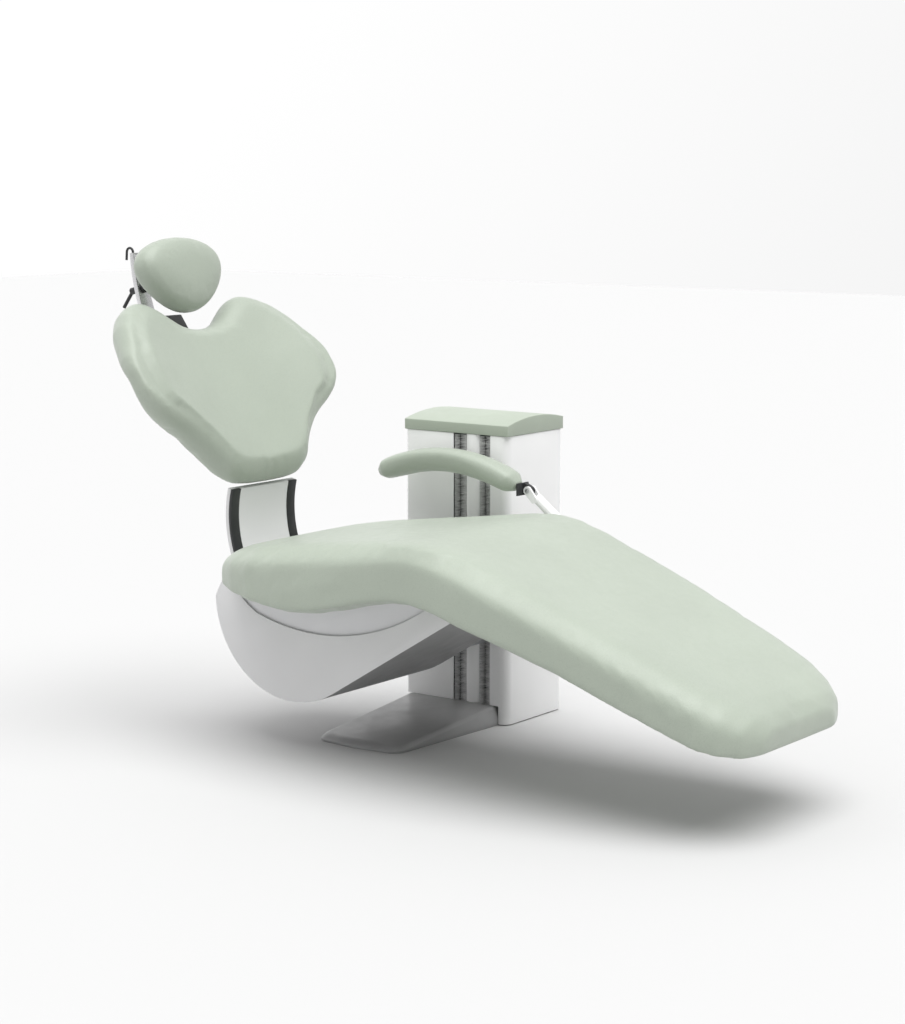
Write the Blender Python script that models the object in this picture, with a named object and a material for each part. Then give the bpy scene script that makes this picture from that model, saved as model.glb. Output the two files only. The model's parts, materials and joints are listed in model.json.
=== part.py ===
"""Dental chair on a side lift column, modelled as an assembly of moving bodies.

Metres, +Z up.  The origin is on the floor under the middle of the lift column.
The patient lies along X with the feet towards +X, and the chair's own middle
plane is at y = CHAIR_Y, in front of the column.
"""

import math

import bmesh
import bpy
from mathutils import Vector

# ---------------------------------------------------------------- dimensions
GAP = 0.0003  # clearance left between touching pieces

# lift column
COLUMN_X = 0.1255  # half width
COLUMN_Y = 0.0955  # half depth
COLUMN_TOP = 0.5790
COVER_T = 0.0025
COVER_CORNER = 0.009
COVER_FRONT_CORNER = 0.018  # at the foot end of the front
SLOT_X = (0.008, 0.069)  # middles of the two lift slots
SLOT_HALF = 0.0143
WEB_HALF = 0.004

# foot plate
PLATE_T = 0.038
PLATE_TIP_T = 0.012
PLATE_TIP_Y = -0.413
PLATE_LEFT = -0.1245
PLATE_RIGHT = 0.1040

# column internals
BAR_X = (-0.0095, 0.0865)
BAR_Y = 0.040
BAR_R = 0.010
SCREW_X = 0.0385
SCREW_R = 0.010
MOTOR_X = -0.072
MOTOR_Y = 0.020
PULLEY_R = 0.022
PULLEY_Z = (0.0430, 0.0490)
CARRIAGE_Z = (0.0550, 0.2150)
WEB_Z = (0.1650, 0.2150)

# chair on the arm
CHAIR_Y = -0.394
PIVOT_X = -0.077
PIVOT_Z = 0.291
HOUSING_R = 0.190
HOUSING_SLOPE = math.radians(31.3)
HOUSING_Y = (-0.514, -0.175)
HOUSING_T = 0.003
NOSE_X = 0.325
HOUSING_HEEL = ((-0.2483, 0.3185), (-0.2535, 0.3095), (-0.2615, 0.2958))  # upper rear corner
RIM_X = -0.014
RIM_Z = 0.706
RIM_R = 0.468

# seat tilt actuator, from its foot on the arm to its head on the seat
TILT_FOOT = (0.093, 0.190)
TILT_HEAD = (0.215, 0.318)

# seat cushion
HOLLOW_HALF = 0.175  # half width of the shallow hollow in its underside
LIP_R = 0.008

# back support curve and shield
CURVE_X = -0.036
CURVE_Z = 0.437
CURVE_R = 0.225
SUPPORT_HALF = 0.095
STRIP_W = 0.024
SHIELD_R = 0.179

# backrest
SHELL_HALF = 0.210  # half width of the rear shell
RECLINE = math.radians(34.5)
BACK_X = -0.252
BACK_Z = 0.525
BACK_T = 0.070
BACK_WING = 0.060  # how far the sides come forward
BACK_WING_W = 0.285

# headrest bar
BAR_CX = -0.173
BAR_CZ = 0.955
BAR_ARC_R = 0.400
HEAD_X = -0.456
HEAD_Z = 0.889
HEAD_LEAN = math.radians(20)

# gears of the recline drive
SECTOR_R = 0.0750
PINION_R = 0.0150
PINION_TEETH = 12
TOOTH_H = 0.0024

# armrest
ARM_Y = -0.140
POST_Y = -0.126
ARM_PIVOT = (0.200, 0.484)

SMOOTH = math.radians(35)


# ------------------------------------------------------------------ helpers
def clear_scene():
    for item in list(bpy.data.objects):
        bpy.data.objects.remove(item, do_unlink=True)


def material(name, colour, roughness, metallic=0.0):
    mat = bpy.data.materials.new(name)
    mat.use_nodes = True
    shader = mat.node_tree.nodes["Principled BSDF"]
    shader.inputs["Base Color"].default_value = (*colour, 1.0)
    shader.inputs["Roughness"].default_value = roughness
    shader.inputs["Metallic"].default_value = metallic
    return mat


def arc(cx, cy, radius, start, end, steps):
    """Points on a circle from start to end, in degrees."""
    points = []
    for i in range(steps + 1):
        angle = math.radians(start + (end - start) * i / steps)
        points.append((cx + radius * math.cos(angle), cy + radius * math.sin(angle)))
    return points


def place(u, v, w, axis):
    """Turns profile coordinates (u, v) and the extrusion coordinate w into a point."""
    if axis == "X":
        return (w, u, v)
    if axis == "Y":
        return (u, w, v)
    return (u, v, w)


def prism(points, low, high, axis):
    """A closed outline extruded along an axis."""
    bm = bmesh.new()
    lower = [bm.verts.new(place(u, v, low, axis)) for u, v in points]
    upper = [bm.verts.new(place(u, v, high, axis)) for u, v in points]
    bm.faces.new(lower)
    bm.faces.new(upper)
    count = len(points)
    for i in range(count):
        j = (i + 1) % count
        bm.faces.new((lower[i], lower[j], upper[j], upper[i]))
    bmesh.ops.recalc_face_normals(bm, faces=bm.faces)
    return bm


def box(x0, x1, y0, y1, z0, z1):
    return prism([(x0, y0), (x1, y0), (x1, y1), (x0, y1)], z0, z1, "Z")


def disc(cx, cy, radius, low, high, axis, sides=32):
    return prism(arc(cx, cy, radius, 0, 360 * (sides - 1) / sides, sides - 1), low, high, axis)


def loft(rings):
    """A closed skin through rings that have the same number of points."""
    bm = bmesh.new()
    loops = [[bm.verts.new(point) for point in ring] for ring in rings]
    count = len(loops[0])
    for first, second in zip(loops, loops[1:]):
        for i in range(count):
            j = (i + 1) % count
            bm.faces.new((first[i], first[j], second[j], second[i]))
    bm.faces.new(loops[0])
    bm.faces.new(loops[-1])
    bmesh.ops.recalc_face_normals(bm, faces=bm.faces)
    return bm


def ring_tube(cx, cy, inner, outer, low, high, axis, sides=32):
    """A plain bush: a cylinder with a bore right through it."""
    bm = bmesh.new()
    loops = []
    for radius, level in ((inner, low), (outer, low), (outer, high), (inner, high)):
        circle = arc(cx, cy, radius, 0, 360 * (sides - 1) / sides, sides - 1)
        loops.append([bm.verts.new(place(u, v, level, axis)) for u, v in circle])
    for k in range(4):
        first = loops[k]
        second = loops[(k + 1) % 4]
        for i in range(sides):
            j = (i + 1) % sides
            bm.faces.new((first[i], first[j], second[j], second[i]))
    bmesh.ops.recalc_face_normals(bm, faces=bm.faces)
    return bm


def pipe(path, radius, sides=16):
    """A round bar along a list of points."""
    rings = []
    for k, point in enumerate(path):
        before = Vector(path[max(k - 1, 0)])
        after = Vector(path[min(k + 1, len(path) - 1)])
        along = (after - before).normalized()
        side = along.cross(Vector((0, 1, 0)))
        if side.length < 0.1:
            side = along.cross(Vector((1, 0, 0)))
        side.normalize()
        other = along.cross(side)
        ring = []
        for i in range(sides):
            angle = 2 * math.pi * i / sides
            offset = side * math.cos(angle) + other * math.sin(angle)
            ring.append(Vector(point) + offset * radius)
        rings.append(ring)
    return loft(rings)


class Body:
    """A moving body: an empty on its joint's axis that carries its pieces."""

    def __init__(self, name, pivot=(0, 0, 0), parent=None):
        self.pivot = Vector(pivot)
        self.empty = bpy.data.objects.new(name + "_joint", None)
        bpy.context.scene.collection.objects.link(self.empty)
        if parent is None:
            self.empty.location = self.pivot
        else:
            self.empty.parent = parent.empty
            self.empty.location = self.pivot - parent.pivot

    def add(self, name, bm, mat, bevel=0.0):
        """Adds one piece, given in world coordinates."""
        bmesh.ops.translate(bm, verts=bm.verts, vec=-self.pivot)
        mesh = bpy.data.meshes.new(name)
        bm.to_mesh(mesh)
        bm.free()
        mesh.materials.append(mat)
        mesh.shade_smooth()
        mesh.set_sharp_from_angle(angle=SMOOTH)
        item = bpy.data.objects.new(name, mesh)
        bpy.context.scene.collection.objects.link(item)
        item.parent = self.empty
        if bevel:
            edge = item.modifiers.new("edges", "BEVEL")
            edge.width = bevel
            edge.segments = 2
            edge.limit_method = "ANGLE"
            edge.angle_limit = math.radians(40)
        return item

    def change(self, item, bm, operation="DIFFERENCE"):
        """Cuts or joins a helper shape, given in world coordinates."""
        bmesh.ops.translate(bm, verts=bm.verts, vec=-self.pivot)
        mesh = bpy.data.meshes.new(item.name + "_tool")
        bm.to_mesh(mesh)
        bm.free()
        tool = bpy.data.objects.new(item.name + "_tool", mesh)
        bpy.context.scene.collection.objects.link(tool)
        tool.parent = self.empty
        tool.hide_render = True
        tool.display_type = "WIRE"
        step = item.modifiers.new("shape", "BOOLEAN")
        step.operation = operation
        step.solver = "EXACT"
        step.object = tool


# ------------------------------------------------------------- foot and column
def plate_ring(inset, level):
    """The foot plate's plan outline, drawn in by inset, with z from level(y)."""
    left = PLATE_LEFT + inset
    right = PLATE_RIGHT - inset
    tip = PLATE_TIP_Y + inset
    taper = 0.014
    corner = 0.026
    bow = 0.008
    rear = COLUMN_Y - 0.0040
    step = left + 0.004
    plan = [(step + 0.015, rear), (step, rear - 0.015), (step, -COLUMN_Y), (left, -COLUMN_Y)]
    plan += arc(left + taper + corner, tip + bow + corner, corner, 180, 262, 5)
    plan += [(0.5 * (left + right), tip)]
    plan += arc(right - taper - corner, tip + bow + corner, corner, 278, 360, 5)
    plan += [(right, -COLUMN_Y), (right, rear)]
    return [(x, y, level(y)) for x, y in plan]


def plate_top(y):
    """Thickness of the foot plate, thinner towards its free end."""
    if y >= -COLUMN_Y:
        return PLATE_T
    share = (y + COLUMN_Y) / (PLATE_TIP_Y + COLUMN_Y)
    return PLATE_T + (PLATE_TIP_T - PLATE_T) * share


def foot_plate():
    """The heavy wedge-shaped plate that stands on the floor."""
    rings = [
        plate_ring(0.0, lambda y: 0.0),
        plate_ring(0.0, lambda y: 0.35 * plate_top(y)),
        plate_ring(0.006, lambda y: 0.85 * plate_top(y)),
        plate_ring(0.012, plate_top),
    ]
    bm = bmesh.new()
    loops = [[bm.verts.new(point) for point in ring] for ring in rings]
    count = len(loops[0])
    for first, second in zip(loops, loops[1:]):
        for i in range(count):
            j = (i + 1) % count
            bm.faces.new((first[i], first[j], second[j], second[i]))
    bm.faces.new(loops[0])
    top = loops[-1]
    bm.faces.new((top[-2], top[-1], top[0], top[1], top[2], top[3]))
    bm.faces.new(top[3:-1])
    bmesh.ops.recalc_face_normals(bm, faces=bm.faces)
    return bm


def cover_profile():
    """Plan outline of the folded sheet cover, open at the front over both slots."""
    left_edge = SLOT_X[0] - SLOT_HALF
    right_edge = SLOT_X[1] + SLOT_HALF

    def path(inset):
        x = COLUMN_X - inset
        y = COLUMN_Y - inset
        r = COVER_CORNER - inset
        big = COVER_FRONT_CORNER - inset
        points = [(left_edge, -y)]
        points += arc(-x + r, -y + r, r, 270, 180, 4)
        points += arc(-x + r, y - r, r, 180, 90, 4)
        points += arc(x - r, y - r, r, 90, 0, 4)
        points += arc(x - big, -y + big, big, 0, -90, 6)
        points += [(right_edge, -y)]
        return points

    return path(0.0) + path(COVER_T)[::-1]


def cap_profile(drop):
    """Side outline of the crowned cap; drop leaves room for its wall."""
    y = COLUMN_Y + 0.0015 - drop
    bottom = COLUMN_TOP + GAP
    front = bottom + 0.021 - drop
    back = bottom + 0.025 - drop
    crown = bottom + 0.035 - drop
    points = [(-y, bottom if not drop else bottom - 0.01)]
    for i in range(9):
        t = i / 8
        rise = 4 * t * (1 - t) * (crown - 0.5 * (front + back))
        points.append((-y + 2 * y * t, front + (back - front) * t + rise))
    points.append((y, bottom if not drop else bottom - 0.01))
    return points


def belt_outline(radius):
    """A loop round the motor pulley and the screw pulley."""
    dx = SCREW_X - MOTOR_X
    dy = BAR_Y - MOTOR_Y
    turn = math.degrees(math.atan2(dy, dx))
    points = arc(MOTOR_X, MOTOR_Y, radius, turn + 90, turn + 270, 12)
    points += arc(SCREW_X, BAR_Y, radius, turn - 90, turn + 90, 12)
    return points


def build_column(base, mats):
    base.add("foot_plate", foot_plate(), mats["plate"])

    cover = base.add("column_cover", prism(cover_profile(), 0.0020, COLUMN_TOP, "Z"), mats["white"])
    notch = box(PLATE_LEFT - 0.002, PLATE_RIGHT + 0.0005, -0.110, -0.070, -0.010, PLATE_T + GAP)
    base.change(cover, notch)

    divider = [(SLOT_X[0] + SLOT_HALF, -0.0880)]
    middle = 0.5 * (SLOT_X[0] + SLOT_X[1])
    half = 0.5 * (SLOT_X[1] - SLOT_X[0]) - SLOT_HALF
    for i in range(9):
        t = -1 + 2 * i / 8
        divider.append((middle + half * t, -0.0900 - 0.0060 * math.sqrt(max(0.0, 1 - t * t))))
    divider.append((SLOT_X[1] - SLOT_HALF, -0.0880))
    base.add("slot_divider", prism(divider, PLATE_T + GAP, COLUMN_TOP, "Z"), mats["white"])

    number = 0
    for slot in SLOT_X:
        for side in (-1, 1):
            number += 1
            inner = slot + side * (WEB_HALF + 0.0006)
            outer = slot + side * (SLOT_HALF - GAP)
            low, high = sorted((inner, outer))
            strip = box(low, high, -0.0915, -0.0885, PLATE_T + GAP, COLUMN_TOP)
            base.add(f"slot_brush_{number}", strip, mats["brush"])

    cap = base.add("column_cap", prism(cap_profile(0.0), -0.127, 0.127, "X"), mats["cap"])
    base.change(cap, prism(cap_profile(0.003), -0.124, 0.124, "X"))

    channel = [(-0.1125, 0.088), (-0.1125, 0.0), (-0.1045, 0.0), (-0.1045, 0.080)]
    channel += [(0.1045, 0.080), (0.1045, 0.0), (0.1125, 0.0), (0.1125, 0.088)]
    mast = base.add("mast_channel", prism(channel, PLATE_T + GAP, 0.5700, "Z"), mats["steel"])
    base.change(mast, box(-0.1060, -0.0400, -0.0160, 0.0820, 0.0500, 0.0560), "UNION")
    base.change(mast, disc(MOTOR_X, MOTOR_Y, 0.0080, 0.040, 0.070, "Z"))
    base.add("mast_top_plate", box(-0.112, 0.112, -0.078, 0.087, 0.5703, 0.5785), mats["steel"])
    for side, x in zip(("head", "foot"), BAR_X):
        bar = disc(x, BAR_Y, BAR_R, PLATE_T + GAP, 0.5700, "Z")
        base.add(f"guide_bar_{side}_side", bar, mats["bright"])

    bearing = ring_tube(SCREW_X, BAR_Y, SCREW_R + GAP, 0.020, PLATE_T + GAP, 0.0425, "Z")
    base.add("screw_bearing", bearing, mats["bright"])
    base.add("lift_motor", disc(MOTOR_X, MOTOR_Y, 0.0290, 0.0563, 0.2200, "Z"), mats["dark"], 0.003)
    belt = base.add("drive_belt", prism(belt_outline(PULLEY_R + 0.0023), *PULLEY_Z, "Z"), mats["rubber"])
    low, high = PULLEY_Z
    base.change(belt, prism(belt_outline(PULLEY_R + GAP), low - 0.01, high + 0.01, "Z"))
    base.add("control_box", box(-0.112, -0.052, -0.060, -0.008, 0.2600, 0.4400), mats["dark"], 0.003)


def build_lift_drive(screw, pulley, mats):
    screw.add("lead_screw", disc(SCREW_X, BAR_Y, SCREW_R, PLATE_T + GAP, 0.5700, "Z"), mats["bright"])
    wheel = ring_tube(SCREW_X, BAR_Y, SCREW_R + GAP, PULLEY_R, *PULLEY_Z, "Z")
    screw.add("screw_pulley", wheel, mats["bright"])
    pulley.add("motor_pulley", disc(MOTOR_X, MOTOR_Y, PULLEY_R, *PULLEY_Z, "Z"), mats["bright"])


# --------------------------------------------------------- arm and lower housing
def housing_outline(nose, shrink=0.0):
    """Side outline of the lower housing: upper rear corner, rear arc and sloping front up to nose."""
    radius = HOUSING_R - shrink
    foot = -90 + math.degrees(HOUSING_SLOPE)
    points = [(x + shrink, z) for x, z in HOUSING_HEEL]
    points += arc(PIVOT_X, PIVOT_Z, radius, 182, 360 + foot, 22)
    x, z = points[-1]
    points.append((nose, z + (nose - x) * math.tan(HOUSING_SLOPE)))
    return points


def rim_height(x):
    """Height of the hollow upper rim of the lower housing."""
    return RIM_Z - math.sqrt(RIM_R**2 - (x - RIM_X) ** 2)


def rim_points(start, end, steps, drop=0.0):
    points = []
    for i in range(steps + 1):
        x = start + (end - start) * i / steps
        points.append((x, rim_height(x) - drop))
    return points


def build_lift(lift, mats):
    block = box(-0.0265, 0.1035, 0.0200, 0.0600, *CARRIAGE_Z)
    arm = lift.add("lift_arm", block, mats["steel"])
    for slot in SLOT_X:
        web = box(slot - WEB_HALF, slot + WEB_HALF, -0.4500, 0.0300, *WEB_Z)
        lift.change(arm, web, "UNION")
    for y in (-0.4540, -0.3460):
        ear = arc(PIVOT_X, PIVOT_Z, 0.0170, 20, 200, 8)
        ear += [(-0.094, 0.268), (-0.036, 0.243), (-0.028, 0.168)]
        ear += [(0.074, 0.168), (0.074, 0.216), (0.000, 0.262)]
        lift.change(arm, prism(ear, y, y + 0.012, "Y"), "UNION")
    for y in (-0.4085, -0.3865):
        lug = arc(*TILT_FOOT, 0.0100, -90, 90, 8)
        lug += [(0.071, TILT_FOOT[1] + 0.010), (0.071, TILT_FOOT[1] - 0.010)]
        lift.change(arm, prism(lug, y, y + 0.007, "Y"), "UNION")
    lift.change(arm, disc(*TILT_FOOT, 0.0040 + GAP, -0.420, -0.370, "Y", 20))
    for x in BAR_X:
        lift.change(arm, disc(x, BAR_Y, 0.0145, 0.040, 0.230, "Z"))
    lift.change(arm, disc(SCREW_X, BAR_Y, 0.0165, 0.040, 0.230, "Z"))
    lift.change(arm, disc(PIVOT_X, PIVOT_Z, 0.0100 + GAP, -0.470, -0.300, "Y"))

    for side, x in zip(("head", "foot"), BAR_X):
        bush = ring_tube(x, BAR_Y, BAR_R + GAP, 0.0145 - GAP, *CARRIAGE_Z, "Z")
        lift.add(f"guide_bush_{side}_side", bush, mats["brass"])
    nut = ring_tube(SCREW_X, BAR_Y, SCREW_R + GAP, 0.0165 - GAP, 0.0600, 0.1300, "Z")
    lift.add("lift_nut", nut, mats["brass"])
    lift.add("main_axle", disc(PIVOT_X, PIVOT_Z, 0.0100, -0.4900, -0.2980, "Y"), mats["bright"])

    near, far = HOUSING_Y
    outline = [(0.300, 0.3330), (0.262, 0.3270)] + rim_points(0.235, -0.165, 16)
    outline += [(-0.186, 0.2760), (-0.215, 0.3010), (-0.236, 0.3220)] + housing_outline(NOSE_X)
    housing = lift.add("lower_housing", prism(outline, near, far, "Y"), mats["shell"])
    inner = [(0.400, 0.420), (-0.244, 0.420)] + housing_outline(0.400, HOUSING_T)
    lift.change(housing, prism(inner, near + HOUSING_T, far - HOUSING_T, "Y"))
    rear_slot = [(PIVOT_X, PIVOT_Z)] + arc(PIVOT_X, PIVOT_Z, 0.260, 165, 222, 6)
    low = CHAIR_Y - SUPPORT_HALF - 0.004
    high = CHAIR_Y + SUPPORT_HALF + 0.004
    lift.change(housing, prism(rear_slot, low, high, "Y"))
    lift.change(housing, box(0.240, 0.400, far - 0.010, far + 0.010, 0.320, 0.420))
    for slot in SLOT_X:
        window = box(slot - 0.0055, slot + 0.0055, far - 0.010, far + 0.010, WEB_Z[0] - 0.002, 0.218)
        lift.change(housing, window)


# -------------------------------------------------------------------- the seat
SEAT_STATIONS = (
    # x, top, lower edge of the sides, underside in the middle, half width
    (-0.214, 0.352, 0.336, 0.336, 0.118),
    (-0.206, 0.370, 0.327, 0.330, 0.155),
    (-0.184, 0.387, 0.320, 0.335, 0.192),
    (-0.135, 0.402, 0.316, 0.326, 0.222),
    (-0.075, 0.411, 0.308, 0.315, 0.241),
    (0.000, 0.420, 0.302, 0.307, 0.250),
    (0.070, 0.428, 0.306, 0.309, 0.253),
    (0.140, 0.437, 0.322, 0.324, 0.255),
    (0.200, 0.445, 0.338, 0.342, 0.255),
    (0.250, 0.452, 0.348, 0.351, 0.256),
    (0.300, 0.455, 0.349, 0.352, 0.257),
    (0.350, 0.448, 0.340, 0.343, 0.257),
    (0.410, 0.430, 0.321, 0.325, 0.257),
    (0.500, 0.396, 0.295, 0.299, 0.254),
    (0.600, 0.356, 0.262, 0.266, 0.247),
    (0.700, 0.314, 0.219, 0.223, 0.237),
    (0.790, 0.276, 0.181, 0.185, 0.225),
    (0.850, 0.249, 0.156, 0.158, 0.213),
    (0.890, 0.228, 0.146, 0.146, 0.195),
    (0.920, 0.208, 0.142, 0.142, 0.168),
    (0.940, 0.186, 0.146, 0.146, 0.120),
)


def between(table, x, column):
    """Linear value of one column of a table of stations."""
    for first, second in zip(table, table[1:]):
        if x <= second[0]:
            share = (x - first[0]) / (second[0] - first[0])
            return first[column] + (second[column] - first[column]) * share
    return table[-1][column]


def seat_bottom(x):
    return between(SEAT_STATIONS, x, 3)


def cushion_half(half, top, low, under):
    """One side of the cushion's section, from the middle of the top to the middle of the underside."""
    wide = min(0.065, 0.45 * half)
    tall = min(0.036, 0.45 * (top - low))
    points = [(0.0, top), (0.5 * (half - wide), top)]
    for u, v in arc(0, 0, 1, 90, 0, 5):
        points.append((half - wide + wide * u, top - tall + tall * v))
    points += arc(half - LIP_R, low + LIP_R, LIP_R, 0, -90, 2)
    hollow = min(HOLLOW_HALF, half - 0.035)
    points += [(hollow + 0.010, low), (hollow, under), (0.0, under)]
    return points


def cushion():
    """The seat and leg rest in one upholstered piece, its sides hanging a little over the pans."""
    rings = []
    for x, top, low, under, half in SEAT_STATIONS:
        side = cushion_half(half, top, low, under)
        ring = [(x, CHAIR_Y + y, z) for y, z in side]
        ring += [(x, CHAIR_Y - y, z) for y, z in side[-2:0:-1]]
        rings.append(ring)
    return loft(rings)


def under_seat(start, end, drop):
    """Points along the cushion's underside, drop below it, at its own stations."""
    low, high = sorted((start, end))
    inner = [station[0] for station in SEAT_STATIONS if low < station[0] < high]
    if start > end:
        inner.reverse()
    return [(x, seat_bottom(x) - drop) for x in [start] + inner + [end]]


def build_seat(seat, mats):
    seat.add("seat_cushion", cushion(), mats["upholstery"])

    near = HOUSING_Y[0] + HOUSING_T + 0.002
    far = CHAIR_Y + HOLLOW_HALF - 0.015
    profile = under_seat(-0.135, 0.300, 0.0010) + under_seat(0.300, -0.135, 0.0060)
    pan = seat.add("seat_pan", prism(profile, near, far, "Y"), mats["shell"])
    skirt = [(-0.236, 0.3120), (-0.205, 0.3250), (-0.184, 0.3180)] + under_seat(-0.150, 0.262, 0.0012)
    skirt += rim_points(0.262, 0.235, 2, 0.006) + rim_points(0.228, -0.236, 16, 0.016)
    for y in (near, far - 0.003):
        seat.change(pan, prism(skirt, y, y + 0.003, "Y"), "UNION")
    profile = under_seat(0.3010, 0.800, 0.0010) + under_seat(0.800, 0.3010, 0.0055)
    seat.add("leg_rest_pan", prism(profile, CHAIR_Y - 0.150, CHAIR_Y + 0.150, "Y"), mats["alloy"])

    for side, y in (("near", -0.4660), ("far", -0.3290)):
        top = under_seat(-0.060, 0.560, 0.0063)
        rail = arc(PIVOT_X, PIVOT_Z, 0.0160, 60, 250, 8)
        lower = [(-0.086, 0.232), (-0.060, 0.232), (-0.045, 0.258)]
        if side == "near":
            lower = [(-0.104, 0.232), (-0.104, 0.186), (-0.050, 0.186), (-0.050, 0.250)]
        lower += [(0.090, 0.258), (0.230, 0.300), (0.300, 0.320), (0.340, 0.324), (0.400, 0.300)]
        lower.append((0.560, 0.246))
        plate = seat.add(f"seat_rail_{side}", prism(rail + lower + top[::-1], y, y + 0.008, "Y"), mats["steel"])
        seat.change(plate, disc(PIVOT_X, PIVOT_Z, 0.0100 + GAP, y - 0.01, y + 0.02, "Y"))
        seat.change(plate, disc(*TILT_HEAD, 0.0060 + GAP, y - 0.01, y + 0.02, "Y", 20))
        if side == "near":
            seat.change(plate, disc(PIVOT_X, PIVOT_Z - SECTOR_R - PINION_R, 0.006, y - 0.01, y + 0.02, "Y"))
    seat.add("tilt_crossbar", disc(*TILT_HEAD, 0.0060, -0.4650, -0.3220, "Y", 20), mats["bright"])

    drop = PIVOT_Z - SECTOR_R - PINION_R
    motor = disc(PIVOT_X, drop, 0.0260, -0.4577, -0.3500, "Y")
    seat.add("recline_motor", motor, mats["dark"], 0.003)


# ----------------------------------------------------------- seat tilt actuator
def build_tilt(actuator, rod, mats):
    foot = Vector((TILT_FOOT[0], CHAIR_Y, TILT_FOOT[1]))
    head = Vector((TILT_HEAD[0], CHAIR_Y, TILT_HEAD[1]))
    along = (head - foot).normalized()

    def stretch(start, end, radius, sides=20):
        return pipe([tuple(foot + along * start), tuple(foot + along * end)], radius, sides)

    body = actuator.add("tilt_actuator", stretch(0.018, 0.118, 0.0160, 24), mats["dark"])
    actuator.change(body, disc(*TILT_FOOT, 0.0095, CHAIR_Y - 0.005, CHAIR_Y + 0.005, "Y", 20), "UNION")
    actuator.change(body, stretch(0.004, 0.030, 0.0048, 12), "UNION")
    actuator.change(body, disc(*TILT_FOOT, 0.0040, CHAIR_Y - 0.014, CHAIR_Y + 0.014, "Y", 20), "UNION")
    actuator.change(body, stretch(0.058, 0.130, 0.0072 + GAP))

    reach = (head - foot).length
    shaft = rod.add("tilt_rod", stretch(0.062, reach - 0.006, 0.0072), mats["bright"])
    rod.change(shaft, disc(*TILT_HEAD, 0.0120, CHAIR_Y - 0.006, CHAIR_Y + 0.006, "Y", 24), "UNION")
    rod.change(shaft, disc(*TILT_HEAD, 0.0075, CHAIR_Y - 0.020, CHAIR_Y + 0.020, "Y", 20))


# --------------------------------------------------------------- recline gears
def gear_outline(cx, cz, radius, teeth, start, end, phase):
    """Toothed arc with trapezoid teeth; angles in degrees."""
    points = []
    pitch = 360 / teeth
    first = math.ceil((start - phase) / pitch)
    last = math.floor((end - phase) / pitch)
    for k in range(first, last + 1):
        middle = phase + k * pitch
        tip = 0.8 * TOOTH_H
        for share, height in ((-0.31, -TOOTH_H), (-0.13, tip), (0.13, tip), (0.31, -TOOTH_H)):
            angle = math.radians(middle + share * pitch)
            reach = radius + height
            points.append((cx + reach * math.cos(angle), cz + reach * math.sin(angle)))
    return points


def build_pinion(pinion, mats):
    z = PIVOT_Z - SECTOR_R - PINION_R
    outline = gear_outline(PIVOT_X, z, PINION_R, PINION_TEETH, 0, 359, 90 + 15)
    pinion.add("recline_pinion", prism(outline, -0.4785, -0.4665, "Y"), mats["bright"])


# ----------------------------------------------------------------- the backrest
def back_point(height, offset, side=0.0):
    """A point of the backrest: up the back, out towards the patient, sideways."""
    up = (-math.sin(RECLINE), math.cos(RECLINE))
    out = (math.cos(RECLINE), math.sin(RECLINE))
    fade = 1 - 0.35 * min(1.0, max(0.0, (height - 0.20) / 0.16))
    offset += BACK_WING * fade * (side / BACK_WING_W) ** 2
    x = BACK_X + up[0] * height + out[0] * offset
    z = BACK_Z + up[1] * height + out[1] * offset
    return (x, CHAIR_Y + side, z)


BACK_STATIONS = (
    # distance from the middle, bottom, top, thickness
    (0.000, -0.030, 0.310, 0.070),
    (0.030, -0.030, 0.313, 0.070),
    (0.058, -0.030, 0.323, 0.070),
    (0.086, -0.027, 0.341, 0.070),
    (0.112, -0.012, 0.357, 0.070),
    (0.130, 0.012, 0.364, 0.070),
    (0.151, 0.037, 0.368, 0.070),
    (0.180, 0.065, 0.358, 0.070),
    (0.208, 0.085, 0.341, 0.068),
    (0.233, 0.100, 0.312, 0.064),
    (0.256, 0.118, 0.268, 0.056),
    (0.272, 0.139, 0.240, 0.044),
    (0.281, 0.162, 0.212, 0.028),
)


def back_section(side, bottom, top, front, rear):
    """One upright slice of the backrest with round edges."""
    thick = front - rear
    radius = 0.48 * min(thick, top - bottom)
    points = []
    for h, turn in ((top - radius, 0), (bottom + radius, 180)):
        middle = 0.5 * (front + rear)
        spread = 0.5 * thick - radius
        for start, offset in ((turn, spread), (turn + 90, -spread)):
            if turn:
                offset = -offset
            for u, v in arc(0, 0, radius, start, start + 90, 3):
                points.append(back_point(h + v, middle + offset + u, side))
        low = bottom + radius if not turn else top - radius
        for i in (1, 2, 3):
            share = i / 4
            edge = rear if not turn else front
            points.append(back_point(h + (low - h) * share, edge, side))
    return points


def back_slices(inset, front, rear):
    """Slices of a layer of the backrest from its far side to its near side."""
    half = [row for row in BACK_STATIONS if inset == 0.0 or row[0] < SHELL_HALF]
    rows = [(-row[0],) + row[1:] for row in half[:0:-1]] + half
    slices = []
    for side, bottom, top, thick in rows:
        if front is None:
            slices.append(back_section(side, bottom, top, 0.5 * thick, -0.5 * thick))
        else:
            slices.append(back_section(side, bottom + inset, top - inset, front, rear))
    return slices


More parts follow.
